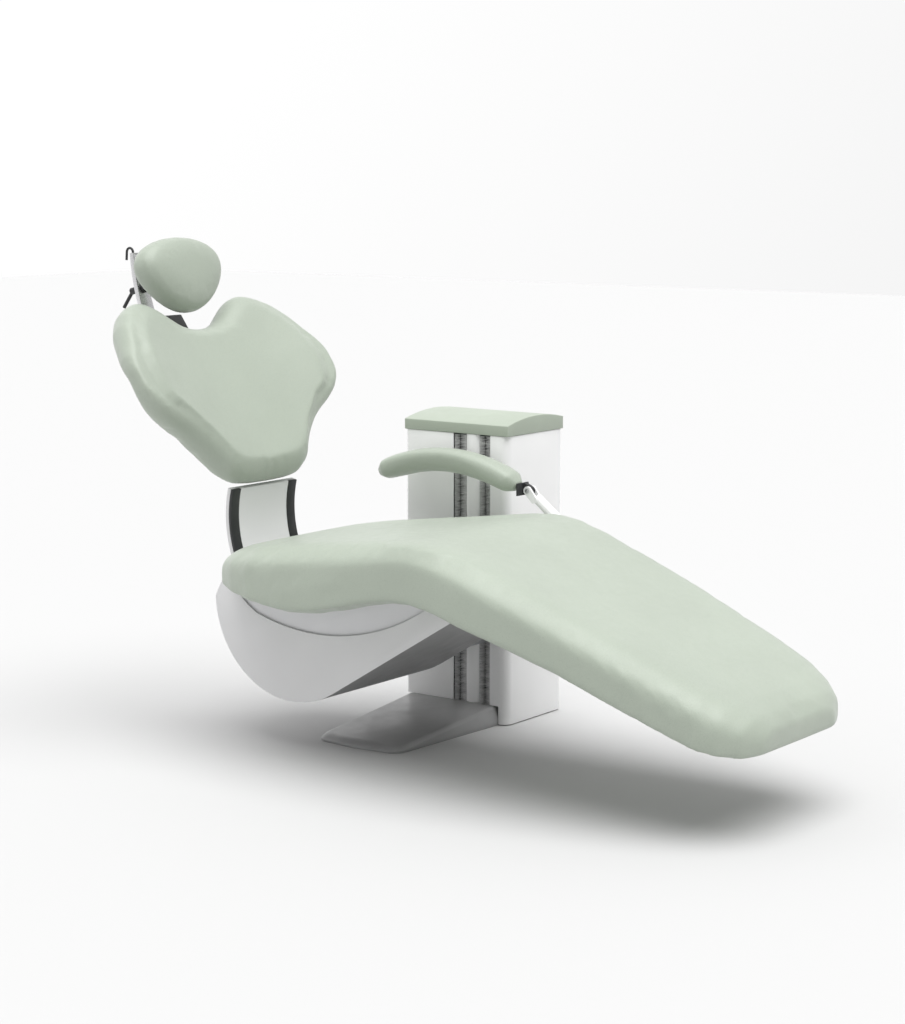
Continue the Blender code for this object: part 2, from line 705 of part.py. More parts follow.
def build_back(back, mats):
    half = 0.5 * BACK_T
    pad = back.add("back_cushion", loft(back_slices(0.0, None, None)), mats["upholstery"])

    def plate(low, high, front, rear, side):
        corners = [(low, rear), (low, front), (high, front), (high, rear)]
        points = []
        for h, offset in corners:
            x, _, z = back_point(h, offset)
            points.append((x, z))
        return prism(points, CHAIR_Y - side, CHAIR_Y + side, "Y")

    back.change(pad, plate(-0.080, 0.270 + GAP, 0.004 + GAP, -0.004 - GAP, 0.085 + GAP))
    back.add("back_core_plate", plate(-0.0250, 0.270, 0.004, -0.004, 0.085), mats["alloy"])

    back.add("back_shell", loft(back_slices(0.052, -half - 0.0020, -half - 0.012)), mats["shell"])

    # curved support between the housing and the backrest
    def curve(inner, outer, start, end):
        points = arc(CURVE_X, CURVE_Z, outer, start, end, 14)
        return points + arc(CURVE_X, CURVE_Z, inner, end, start, 14)

    near = CHAIR_Y - SUPPORT_HALF
    far = CHAIR_Y + SUPPORT_HALF
    panel = curve(CURVE_R - 0.0080, CURVE_R, 165.8, 230)
    back.add("back_support", prism(panel, near, far, "Y"), mats["shell"])
    cover = curve(CURVE_R - 0.0130, CURVE_R - 0.0083, 165.8, 215)
    back.add("support_cover", prism(cover, near + STRIP_W + GAP, far - STRIP_W - GAP, "Y"), mats["shell"])
    strip = curve(CURVE_R - 0.0140, CURVE_R - 0.0083, 165.8, 215)
    back.add("support_strip_near", prism(strip, near, near + STRIP_W, "Y"), mats["black"])
    back.add("support_strip_far", prism(strip, far - STRIP_W, far, "Y"), mats["black"])

    # side plates that carry the support round the main axle
    for side, y in (("near", -0.4870), ("far", -0.3110)):
        cheek = arc(PIVOT_X, PIVOT_Z, 0.0150, 70, -10, 6)
        if side == "near":
            cheek += [(PIVOT_X + 0.006, PIVOT_Z - 0.030)]
            cheek += arc(PIVOT_X, PIVOT_Z, 0.0600, -80, -160, 8)
        else:
            cheek += arc(PIVOT_X, PIVOT_Z, 0.0200, -60, -140, 4)
        inner = CURVE_R - 0.0083
        cheek += arc(CURVE_X, CURVE_Z, inner, 228, 217, 4)
        item = back.add(f"back_arm_{side}", prism(cheek, y, y + 0.008, "Y"), mats["steel"])
        back.change(item, disc(PIVOT_X, PIVOT_Z, 0.0100 + GAP, y - 0.01, y + 0.02, "Y"))

    teeth = PINION_TEETH * SECTOR_R / PINION_R
    sector = gear_outline(PIVOT_X, PIVOT_Z, SECTOR_R, teeth, -154, -72, -90)
    sector += arc(PIVOT_X, PIVOT_Z, 0.0450, -72, -154, 10)
    back.add("recline_sector", prism(sector, -0.4787, -0.4687, "Y"), mats["bright"])

    shield = arc(PIVOT_X, PIVOT_Z, SHIELD_R, 161, 226, 14)
    shield += arc(PIVOT_X, PIVOT_Z, SHIELD_R - 0.003, 226, 161, 14)
    back.add("rear_shield", prism(shield, near, far, "Y"), mats["shell"])


# ----------------------------------------------------------------- the headrest
def bar_arc(inner, outer, start, end, steps):
    """Side outline of a piece that follows the headrest bar's curve."""
    points = arc(BAR_CX, BAR_CZ, outer, 180 + start, 180 + end, steps)
    return points + arc(BAR_CX, BAR_CZ, inner, 180 + end, 180 + start, steps)


def bar_point(angle, offset=0.0):
    """A point on the bar's curve; offset is measured away from the patient."""
    reach = BAR_ARC_R + offset
    turn = math.radians(180 + angle)
    return (BAR_CX + reach * math.cos(turn), BAR_CZ + reach * math.sin(turn))


def head_ring(scale, offset):
    """Outline of the headrest pad, a triangle with very round corners, point down."""
    ring = []
    count = 28
    for i in range(count):
        angle = 2 * math.pi * i / count
        side = 0.107 * math.cos(angle)
        height = 0.076 * math.sin(angle)
        narrow = 1.0 + 0.30 * (height / 0.076)
        side *= narrow * scale
        height *= scale
        x = HEAD_X - math.sin(HEAD_LEAN) * height + math.cos(HEAD_LEAN) * offset
        z = HEAD_Z + math.cos(HEAD_LEAN) * height + math.sin(HEAD_LEAN) * offset
        ring.append((x, CHAIR_Y + side, z))
    return ring


def build_headrest(back, bar, head, latch, clamp, mats):
    guide_points = arc(BAR_CX, BAR_CZ, 0.4280, 180 + 22.5, 180 + 48, 10)
    for h, rear in ((0.190, 0.0125), (0.378, 0.0170)):
        x, _, z = back_point(h, -0.5 * BACK_T - rear)
        guide_points.append((x, z))
    block = prism(guide_points, CHAIR_Y - 0.058, CHAIR_Y + 0.058, "Y")
    guide = back.add("headrest_guide", block, mats["black"])
    slot = bar_arc(BAR_ARC_R - 0.0053, BAR_ARC_R + 0.0053, 12, 62, 20)
    back.change(guide, prism(slot, CHAIR_Y - 0.0168, CHAIR_Y + 0.0168, "Y"))

    strip = bar_arc(BAR_ARC_R - 0.0050, BAR_ARC_R + 0.0050, 3.5, 45.0, 20)
    strap = bar.add("headrest_bar", prism(strip, CHAIR_Y - 0.0165, CHAIR_Y + 0.0165, "Y"), mats["bright"])
    hinge = bar_point(6.0, -0.0220)
    eye = arc(hinge[0], hinge[1], 0.0085, -100, 100, 8)
    eye += [bar_point(4.0, -0.0030), bar_point(8.5, -0.0030)]
    for y in (-0.0150, 0.0090):
        bar.change(strap, prism(eye, CHAIR_Y + y, CHAIR_Y + y + 0.006, "Y"), "UNION")
    bar.change(strap, disc(*hinge, 0.0040 + GAP, CHAIR_Y - 0.03, CHAIR_Y + 0.03, "Y", 20))
    pin = disc(*hinge, 0.0040, CHAIR_Y - 0.0170, CHAIR_Y + 0.0170, "Y", 20)
    bar.add("headrest_hinge_pin", pin, mats["bright"])

    knuckle = arc(hinge[0], hinge[1], 0.0085, 60, 300, 10)
    back_x = HEAD_X - math.cos(HEAD_LEAN) * 0.0345
    back_z = HEAD_Z - math.sin(HEAD_LEAN) * 0.0345
    lean_x = math.sin(HEAD_LEAN)
    lean_z = math.cos(HEAD_LEAN)
    knuckle += [(back_x + 0.035 * lean_x, back_z - 0.035 * lean_z)]
    knuckle += [(back_x - 0.030 * lean_x, back_z + 0.030 * lean_z)]
    web = prism(knuckle, CHAIR_Y - 0.0085, CHAIR_Y + 0.0085, "Y")
    bracket = head.add("headrest_bracket", web, mats["black"])
    head.change(bracket, disc(*hinge, 0.0040 + GAP, CHAIR_Y - 0.03, CHAIR_Y + 0.03, "Y", 20))
    rings = []
    for scale, offset in ((0.62, -0.0340), (0.88, -0.0280), (0.98, -0.0130), (1.0, 0.002)):
        rings.append(head_ring(scale, offset))
    for scale, offset in ((0.96, 0.018), (0.84, 0.029), (0.60, 0.036)):
        rings.append(head_ring(scale, offset))
    head.add("headrest_pad", loft(rings), mats["upholstery"])

    top = bar_point(5.0, 0.0125)
    hook = [(top[0], CHAIR_Y, top[1] - 0.004)]
    for x, z in arc(top[0] - 0.0085, top[1] + 0.012, 0.0085, 0, 180, 8):
        hook.append((x, CHAIR_Y, z))
    hook.append((top[0] - 0.0180, CHAIR_Y, top[1] - 0.004))
    latch.add("tilt_release_lever", pipe(hook, 0.0025, 10), mats["black"])

    middle = bar_point(13.8)
    lean = math.radians(13.8)
    away = Vector((-math.cos(lean), 0, -math.sin(lean)))
    centre = Vector((middle[0], CHAIR_Y, middle[1]))
    knob = [centre - away * 0.0054, centre - away * 0.0130]
    rings_radius = 0.0100
    clamp.add("clamp_knob", pipe([tuple(p) for p in knob], rings_radius, 20), mats["black"], 0.001)
    foot = centre + away * 0.0054
    top = foot + away * 0.0230
    lever = clamp.add("clamp_lever", pipe([tuple(foot), tuple(top)], 0.0070, 16), mats["black"])
    knee = foot + away * 0.0190
    grip = [tuple(knee + Vector((0.003, 0, 0.005))), tuple(knee + Vector((-0.026, 0, -0.034)))]
    clamp.change(lever, pipe(grip, 0.0036, 12), "UNION")


# ------------------------------------------------------------------ the armrest
def arm_line(share):
    """The armrest pad's middle line from its free rear end to its front end."""
    x = -0.150 + 0.332 * share
    crown = 0.039 * (1 - ((share - 0.50) / 0.5) ** 2)
    return x, 0.495 + crown - 0.004 * share


def build_armrest(seat, armrest, mats):
    bends = [(0.285, 0.3388), (0.285, 0.345), (0.300, 0.385), (0.280, 0.421), (0.216, 0.4705)]
    tube = seat.add("armrest_post", pipe([(x, POST_Y, z) for x, z in bends], 0.0105, 16), mats["white"])
    fork = arc(*ARM_PIVOT, 0.0085, 30, 210, 8) + [(0.212, 0.4600), (0.226, 0.4640)]
    for y in (POST_Y - 0.0105, POST_Y + 0.0055):
        seat.change(tube, prism(fork, y, y + 0.005, "Y"), "UNION")
    seat.change(tube, disc(*ARM_PIVOT, 0.0110, POST_Y - 0.0055, POST_Y + 0.0055, "Y"))
    seat.change(tube, disc(*ARM_PIVOT, 0.0045 + GAP, POST_Y - 0.02, POST_Y + 0.02, "Y", 20))
    pin = disc(*ARM_PIVOT, 0.0045, POST_Y - 0.0115, POST_Y + 0.0115, "Y", 20)
    seat.add("armrest_hinge_pin", pin, mats["bright"])
    seat.add("armrest_bracket", box(0.268, 0.298, -0.2400, -0.1140, 0.3290, 0.3385), mats["steel"])

    knuckle = arc(*ARM_PIVOT, 0.0085, -60, 60, 6) + [(0.1885, 0.499), (0.1885, 0.475)]
    tongue = prism(knuckle, POST_Y - 0.0050, POST_Y + 0.0050, "Y")
    item = armrest.add("armrest_knuckle", tongue, mats["black"])
    armrest.change(item, disc(*ARM_PIVOT, 0.0045 + GAP, POST_Y - 0.02, POST_Y + 0.02, "Y", 20))
    armrest.change(item, box(0.1868, 0.1900, ARM_Y - 0.014, POST_Y + 0.010, 0.475, 0.499), "UNION")

    rings = []
    sides = 16
    for k in range(19):
        share = k / 18
        x, z = arm_line(share)
        ahead = arm_line(min(share + 0.02, 1.0))
        behind = arm_line(max(share - 0.02, 0.0))
        along = Vector((ahead[0] - behind[0], ahead[1] - behind[1])).normalized()
        end = min(share, 1 - share) / 0.09
        full = math.sqrt(1 - (1 - min(end, 1.0)) ** 2) if end < 1 else 1.0
        full = 0.45 + 0.55 * full
        ring = []
        for i in range(sides):
            angle = 2 * math.pi * i / sides
            c = math.cos(angle)
            s = math.sin(angle)
            side = math.copysign(abs(c) ** 0.75, c) * 0.029 * full
            rise = math.copysign(abs(s) ** 0.75, s) * 0.0225 * full
            ring.append((x - along.y * rise, ARM_Y + side, z + along.x * rise))
        rings.append(ring)
    armrest.add("armrest_pad", loft(rings), mats["upholstery"])


# ------------------------------------------------------------------------ build
def main():
    clear_scene()
    mats = {
        "white": material("column_paint", (0.78, 0.78, 0.78), 0.40),
        "plate": material("plate_paint", (0.22, 0.22, 0.22), 0.45),
        "cap": material("cap_paint", (0.45, 0.53, 0.44), 0.50),
        "shell": material("shell_plastic", (0.55, 0.55, 0.55), 0.45),
        "brush": material("brush_fibre", (0.10, 0.10, 0.10), 0.80),
        "black": material("black_plastic", (0.02, 0.02, 0.02), 0.45),
        "rubber": material("belt_rubber", (0.03, 0.03, 0.03), 0.80),
        "steel": material("painted_steel", (0.30, 0.31, 0.32), 0.50, 0.6),
        "bright": material("bright_steel", (0.70, 0.70, 0.70), 0.25, 1.0),
        "alloy": material("alloy", (0.60, 0.61, 0.62), 0.40, 0.9),
        "brass": material("bronze", (0.60, 0.45, 0.25), 0.40, 0.9),
        "dark": material("motor_paint", (0.06, 0.06, 0.07), 0.50, 0.3),
        "upholstery": material("upholstery", (0.62, 0.70, 0.61), 0.50),
    }
    pivot = (PIVOT_X, CHAIR_Y, PIVOT_Z)
    base = Body("base")
    screw = Body("lift_screw", (SCREW_X, BAR_Y, 0.0), base)
    pulley = Body("motor_pulley", (MOTOR_X, MOTOR_Y, 0.0), base)
    lift = Body("lift", (0.0, 0.0, 0.0), base)
    seat = Body("seat", pivot, lift)
    pinion = Body("recline_pinion", (PIVOT_X, CHAIR_Y, PIVOT_Z - SECTOR_R - PINION_R), seat)
    back = Body("back", pivot, seat)
    bar = Body("headrest_bar", (BAR_CX, CHAIR_Y, BAR_CZ), back)
    hinge = bar_point(6.0, -0.0220)
    head = Body("headrest", (hinge[0], CHAIR_Y, hinge[1]), bar)
    top = bar_point(5.0, 0.0125)
    latch = Body("tilt_lever", (top[0], CHAIR_Y, top[1]), bar)
    middle = bar_point(13.8)
    clamp = Body("height_clamp", (middle[0], CHAIR_Y, middle[1]), bar)
    armrest = Body("armrest", (ARM_PIVOT[0], ARM_Y, ARM_PIVOT[1]), seat)
    actuator = Body("tilt_actuator", (TILT_FOOT[0], CHAIR_Y, TILT_FOOT[1]), lift)
    rod = Body("tilt_rod", (TILT_HEAD[0], CHAIR_Y, TILT_HEAD[1]), actuator)

    build_column(base, mats)
    build_lift_drive(screw, pulley, mats)
    build_lift(lift, mats)
    build_seat(seat, mats)
    build_tilt(actuator, rod, mats)
    build_pinion(pinion, mats)
    build_back(back, mats)
    build_headrest(back, bar, head, latch, clamp, mats)
    build_armrest(seat, armrest, mats)


main()
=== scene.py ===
"""Looks of a dental chair: upholstery, paint, plastic, metal, studio light and camera."""

import json
import math

import bmesh
import bpy
from mathutils import Matrix, Vector


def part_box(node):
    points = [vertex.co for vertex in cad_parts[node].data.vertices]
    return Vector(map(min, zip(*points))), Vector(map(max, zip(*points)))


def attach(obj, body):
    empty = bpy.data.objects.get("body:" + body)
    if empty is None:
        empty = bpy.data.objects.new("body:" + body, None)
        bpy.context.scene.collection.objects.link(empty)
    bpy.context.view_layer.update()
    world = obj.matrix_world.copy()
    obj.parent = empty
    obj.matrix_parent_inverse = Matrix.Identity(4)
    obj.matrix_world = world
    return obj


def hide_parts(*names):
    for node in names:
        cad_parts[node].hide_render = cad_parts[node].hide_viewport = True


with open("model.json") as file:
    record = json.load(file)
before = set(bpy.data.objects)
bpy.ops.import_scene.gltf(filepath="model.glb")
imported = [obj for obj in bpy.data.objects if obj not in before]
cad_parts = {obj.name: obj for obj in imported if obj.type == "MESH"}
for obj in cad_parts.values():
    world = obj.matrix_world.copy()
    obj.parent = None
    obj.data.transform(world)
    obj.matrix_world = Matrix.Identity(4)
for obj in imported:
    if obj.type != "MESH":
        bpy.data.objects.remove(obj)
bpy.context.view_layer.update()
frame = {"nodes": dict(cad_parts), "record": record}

SCENE = bpy.context.scene
NODES = frame["nodes"]
SLOT_OF = {row["node"]: row["material_slot"] for row in frame["record"]["subparts"]}
BODIES = frame["record"]["behaviour"]["bodies"]
BODY_OF = {node: body for body, nodes in BODIES.items() for node in nodes}

# camera: the column's middle on the floor is the origin
CAMERA_PLACE = Vector((2.7999, -3.9061, 1.1217))
CAMERA_TURN = 0.63510  # radians from +Y towards -X
CAMERA_DIP = 0.14720  # radians below level
CAMERA_LENS = 84.375  # mm on a 36 mm sensor

FLOOR_HALF = 14.0  # half the floor's side
FLOOR_COLOUR = (0.58, 0.58, 0.58)
ROOM_LEVEL = 0.60  # brightness level with the floor, on average
ROOM_DIM = 0.36  # least brightness in any direction
ROOM_SLOPE = (-0.42, 0.16, 0.18)  # how the room's brightness changes along each axis
LAMP_TOWARDS = (0.26, -0.12, 0.95)
LAMP_STRENGTH = 3.1
LAMP_SPREAD = 60  # degrees

# sockets of the colour form of the Mix node
MIX_SHARE, MIX_FIRST, MIX_SECOND, MIX_RESULT = 0, 6, 7, 2

SAGE = (0.405, 0.456, 0.382)

SAME_POINT = 0.00002  # points closer than this are merged
FLAT_ANGLE = math.radians(1.0)  # faces that meet flatter than this are joined
BEVEL_ANGLE = math.radians(28)  # edges sharper than this are rounded over
BEVEL_STEPS = 3
SMOOTH = math.radians(32)

BELLY_TOP = 0.345  # highest point of the painted shade on the housing's bottom
BELLY_SIDE = 0.6  # faces turned further sideways than this are side panels
BELLY_UP = 0.2  # and those turned further up are the housing's inside

SLOT_X = (0.008, 0.069)  # middles of the column's two slots
BRISTLE_PITCH = 0.0026
BRISTLE_SHARE = 0.86  # of the pitch that a tuft fills at its root
BRISTLE_TIP = 0.0004  # half the height of a tuft's tip
BRISTLE_GAP = 0.0004  # from a tuft's tip to the slot's middle, at least
BRISTLE_SHORT = 0.0005  # half of what the tips vary in reach
BRISTLE_DROOP = 0.0006  # most that a tip rises or droops
BRISTLE_RAGGED = 0.0003  # half of what the tufts' fronts vary

CLOTH_FRAMES = 20
CLOTH_PRESSURE = 4.0
CLOTH_QUALITY = 4
RELAX_SHARE = 0.5  # of the way to the neighbours' middle, in each round of smoothing
SETTLE_ROUNDS = 3  # rounds of smoothing after the simulation
PAD_MARGIN = 0.0006  # between a pad and its CAD solid's box


# ---------------------------------------------------------------------- stage
def make_camera():
    data = bpy.data.cameras.new("camera")
    data.lens = CAMERA_LENS
    data.sensor_width = 36.0
    camera = bpy.data.objects.new("camera", data)
    SCENE.collection.objects.link(camera)
    right = Vector((math.cos(CAMERA_TURN), math.sin(CAMERA_TURN), 0))
    level = Vector((-math.sin(CAMERA_TURN), math.cos(CAMERA_TURN), 0))
    forward = level * math.cos(CAMERA_DIP) + Vector((0, 0, -math.sin(CAMERA_DIP)))
    up = right.cross(forward)
    turn = Matrix((right, up, -forward)).transposed()
    camera.matrix_world = Matrix.Translation(CAMERA_PLACE) @ turn.to_4x4()
    SCENE.camera = camera


def mesh_object(bm, name):
    """A new object with the shape built in bm, which is freed."""
    mesh = bpy.data.meshes.new(name)
    bm.to_mesh(mesh)
    bm.free()
    made = bpy.data.objects.new(name, mesh)
    SCENE.collection.objects.link(made)
    return made


def make_stage():
    bm = bmesh.new()
    bmesh.ops.create_grid(bm, x_segments=1, y_segments=1, size=FLOOR_HALF)
    floor = mesh_object(bm, "floor")
    mat, _, shader = new_material("floor_paint")
    shader.inputs["Base Color"].default_value = (*FLOOR_COLOUR, 1)
    shader.inputs["Roughness"].default_value = 0.85
    shader.inputs["Specular IOR Level"].default_value = 0.15
    paint(floor, mat)


def soft_lamp(name, towards, strength, spread_degrees):
    """A distant soft lamp; towards points from the chair to the lamp."""
    data = bpy.data.lights.new(name, "SUN")
    data.energy = strength
    data.angle = math.radians(spread_degrees)
    lamp = bpy.data.objects.new(name, data)
    SCENE.collection.objects.link(lamp)
    lamp.rotation_euler = Vector(towards).to_track_quat("Z", "Y").to_euler()


def make_light():
    """A soft room, bright beyond the chair's head and dim beyond its foot, and a wide lamp."""
    world = bpy.data.worlds.new("studio")
    world.use_nodes = True
    tree = world.node_tree
    source = tree.nodes.new("ShaderNodeTexCoord")
    slope = tree.nodes.new("ShaderNodeVectorMath")
    slope.operation = "DOT_PRODUCT"
    slope.inputs[1].default_value = ROOM_SLOPE
    level = tree.nodes.new("ShaderNodeMath")
    level.operation = "ADD"
    level.inputs[1].default_value = ROOM_LEVEL
    tree.links.new(source.outputs["Generated"], slope.inputs[0])
    tree.links.new(slope.outputs["Value"], level.inputs[0])
    least = tree.nodes.new("ShaderNodeMath")
    least.operation = "MAXIMUM"
    least.inputs[1].default_value = ROOM_DIM
    tree.links.new(level.outputs["Value"], least.inputs[0])
    background = tree.nodes["Background"]
    tree.links.new(least.outputs["Value"], background.inputs["Strength"])
    background.inputs["Color"].default_value = (1.0, 1.0, 1.0, 1)
    SCENE.world = world
    soft_lamp("key", LAMP_TOWARDS, LAMP_STRENGTH, LAMP_SPREAD)
    SCENE.view_settings.view_transform = "Standard"


# ------------------------------------------------------------------ materials
def new_material(name):
    """A new material, its node tree and its shader."""
    mat = bpy.data.materials.new(name)
    mat.use_nodes = True
    tree = mat.node_tree
    return mat, tree, tree.nodes["Principled BSDF"]


def coordinates(tree, scale=(1, 1, 1)):
    """The piece's own coordinates in metres, times scale."""
    source = tree.nodes.new("ShaderNodeTexCoord")
    mapping = tree.nodes.new("ShaderNodeMapping")
    mapping.inputs["Scale"].default_value = scale
    tree.links.new(source.outputs["Object"], mapping.inputs["Vector"])
    return mapping.outputs["Vector"]


def noise(tree, vector, scale, detail=3.0):
    node = tree.nodes.new("ShaderNodeTexNoise")
    node.inputs["Scale"].default_value = scale
    node.inputs["Detail"].default_value = detail
    tree.links.new(vector, node.inputs["Vector"])
    return node.outputs["Fac"]


def spread(tree, value, low, high, start=0.3, end=0.7):
    """Maps a texture value to the range low..high."""
    node = tree.nodes.new("ShaderNodeMapRange")
    node.inputs["From Min"].default_value = start
    node.inputs["From Max"].default_value = end
    node.inputs["To Min"].default_value = low
    node.inputs["To Max"].default_value = high
    tree.links.new(value, node.inputs["Value"])
    return node.outputs["Result"]


def colour_mix(tree):
    node = tree.nodes.new("ShaderNodeMix")
    node.data_type = "RGBA"
    return node


def tint(tree, value, first, second):
    """Mixes two colours by a texture value."""
    share = spread(tree, value, 0.0, 1.0, 0.35, 0.65)
    node = colour_mix(tree)
    node.inputs[MIX_FIRST].default_value = (*first, 1)
    node.inputs[MIX_SECOND].default_value = (*second, 1)
    tree.links.new(share, node.inputs[MIX_SHARE])
    return node.outputs[MIX_RESULT]


def bump(tree, shader, value, strength, distance, below=None):
    """Relief on the shader's surface, over the relief below if there is one."""
    node = tree.nodes.new("ShaderNodeBump")
    node.inputs["Strength"].default_value = strength
    node.inputs["Distance"].default_value = distance
    tree.links.new(value, node.inputs["Height"])
    if below is not None:
        tree.links.new(below, node.inputs["Normal"])
    tree.links.new(node.outputs["Normal"], shader.inputs["Normal"])
    return node.outputs["Normal"]


def shade(colour, factor):
    return tuple(min(1.0, c * factor) for c in colour)


def painted(name, colour, roughness, grain, depth, vary, metallic=0.0, coat=0.0):
    """Powder coat or moulded plastic: fine even grain, slightly cloudy in tone and gloss.

    grain is the relief's scale and depth its height; vary is the share the tone varies by.
    """
    mat, tree, shader = new_material(name)
    vector = coordinates(tree)
    cloud = noise(tree, vector, 7.0, 2.0)
    colour_out = tint(tree, cloud, shade(colour, 1 - vary), shade(colour, 1 + vary))
    tree.links.new(colour_out, shader.inputs["Base Color"])
    gloss = spread(tree, noise(tree, vector, 35.0, 4.0), roughness - 0.05, roughness + 0.06)
    tree.links.new(gloss, shader.inputs["Roughness"])
    shader.inputs["Metallic"].default_value = metallic
    shader.inputs["Coat Weight"].default_value = coat
    bump(tree, shader, noise(tree, vector, grain, 2.0), 0.35, depth)
    return mat


def vinyl():
    """Smooth sage vinyl: pebbled grain with painted shade in its creases, faint stretch lines, soft
    sheen, slightly cloudy tone.
    """
    mat, tree, shader = new_material("sage_vinyl")
    vector = coordinates(tree)
    cloud = noise(tree, vector, 5.0, 3.0)
    base = tint(tree, cloud, shade(SAGE, 0.965), shade(SAGE, 1.03))
    pores = tree.nodes.new("ShaderNodeTexVoronoi")
    pores.feature = "DISTANCE_TO_EDGE"
    pores.inputs["Scale"].default_value = 620.0
    warp = noise(tree, vector, 210.0, 2.0)
    shift = tree.nodes.new("ShaderNodeVectorMath")
    shift.operation = "MULTIPLY_ADD"
    shift.inputs[1].default_value = (0.0022, 0.0022, 0.0022)
    tree.links.new(warp, shift.inputs[0])
    tree.links.new(vector, shift.inputs[2])
    tree.links.new(shift.outputs["Vector"], pores.inputs["Vector"])
    crease = spread(tree, pores.outputs["Distance"], 0.0, 1.0, 0.0, 0.16)
    # painted shade: the grain's cell edges, its creases, are darkened by up to 16 percent
    crease_shade = colour_mix(tree)
    crease_shade.blend_type = "MULTIPLY"
    crease_shade.inputs[MIX_SHARE].default_value = 0.16
    grey = tree.nodes.new("ShaderNodeCombineColor")
    for channel in ("Red", "Green", "Blue"):
        tree.links.new(crease, grey.inputs[channel])
    tree.links.new(base, crease_shade.inputs[MIX_FIRST])
    tree.links.new(grey.outputs["Color"], crease_shade.inputs[MIX_SECOND])
    tree.links.new(crease_shade.outputs[MIX_RESULT], shader.inputs["Base Color"])
    gloss = spread(tree, noise(tree, vector, 60.0, 3.0), 0.37, 0.49)
    tree.links.new(gloss, shader.inputs["Roughness"])
    shader.inputs["Specular IOR Level"].default_value = 0.52
    shader.inputs["Sheen Weight"].default_value = 0.20
    shader.inputs["Sheen Roughness"].default_value = 0.45
    grain = bump(tree, shader, crease, 0.30, 0.00022)
    stretch = noise(tree, coordinates(tree, (18, 55, 18)), 1.0, 3.0)
    bump(tree, shader, stretch, 0.10, 0.0012, grain)
    return mat


def brushed(name, colour, roughness, scale):
    """Ground or brushed metal: fine scratches, drawn out along the axis with the least scale."""
    mat, tree, shader = new_material(name)
    lines = noise(tree, coordinates(tree, scale), 60.0, 4.0)
    smear = noise(tree, coordinates(tree), 14.0, 3.0)
    colour_out = tint(tree, smear, shade(colour, 0.93), shade(colour, 1.04))
    tree.links.new(colour_out, shader.inputs["Base Color"])
    gloss = spread(tree, lines, roughness - 0.07, roughness + 0.12)
    tree.links.new(gloss, shader.inputs["Roughness"])
    shader.inputs["Metallic"].default_value = 1.0
    bump(tree, shader, lines, 0.18, 0.00005)
    return mat


def plate_paint():
    """Dark grey textured coat with pale scuffs where feet rub."""
    mat, tree, shader = new_material("plate_paint")
    vector = coordinates(tree)
    cloud = noise(tree, vector, 6.0, 3.0)
    base = tint(tree, cloud, (0.310, 0.310, 0.313), (0.355, 0.355, 0.358))
    scuff = noise(tree, coordinates(tree, (26, 60, 40)), 1.0, 6.0)
    share = spread(tree, scuff, 0.0, 0.5, 0.66, 0.80)
    worn = colour_mix(tree)
    worn.inputs[MIX_SECOND].default_value = (0.36, 0.36, 0.36, 1)
    tree.links.new(share, worn.inputs[MIX_SHARE])
    tree.links.new(base, worn.inputs[MIX_FIRST])
    tree.links.new(worn.outputs[MIX_RESULT], shader.inputs["Base Color"])
    gloss = spread(tree, noise(tree, vector, 40.0, 4.0), 0.30, 0.44)
    tree.links.new(gloss, shader.inputs["Roughness"])
    shader.inputs["Coat Weight"].default_value = 0.12
    shader.inputs["Coat Roughness"].default_value = 0.25
    bump(tree, shader, noise(tree, vector, 700.0, 2.0), 0.35, 0.00010)
    return mat


def bristles():
    """Rows of grey fibre ends."""
    mat, tree, shader = new_material("bristles")
    hairs = noise(tree, coordinates(tree, (60, 60, 1400)), 1.0, 2.0)
    colour_out = tint(tree, hairs, (0.460, 0.460, 0.463), (0.680, 0.680, 0.683))
    tree.links.new(colour_out, shader.inputs["Base Color"])
    shader.inputs["Roughness"].default_value = 0.75
    bump(tree, shader, hairs, 0.6, 0.0006)
    return mat


def rubbery(name, colour, roughness):
    """Rubber or black plastic: a fine grain and a little dust."""
    mat, tree, shader = new_material(name)
    vector = coordinates(tree)
    dust = noise(tree, vector, 22.0, 4.0)
    tree.links.new(tint(tree, dust, colour, shade(colour, 1.6)), shader.inputs["Base Color"])
    gloss = spread(tree, dust, roughness - 0.06, roughness + 0.08)
    tree.links.new(gloss, shader.inputs["Roughness"])
    bump(tree, shader, noise(tree, vector, 1100.0, 2.0), 0.3, 0.00008)
    return mat


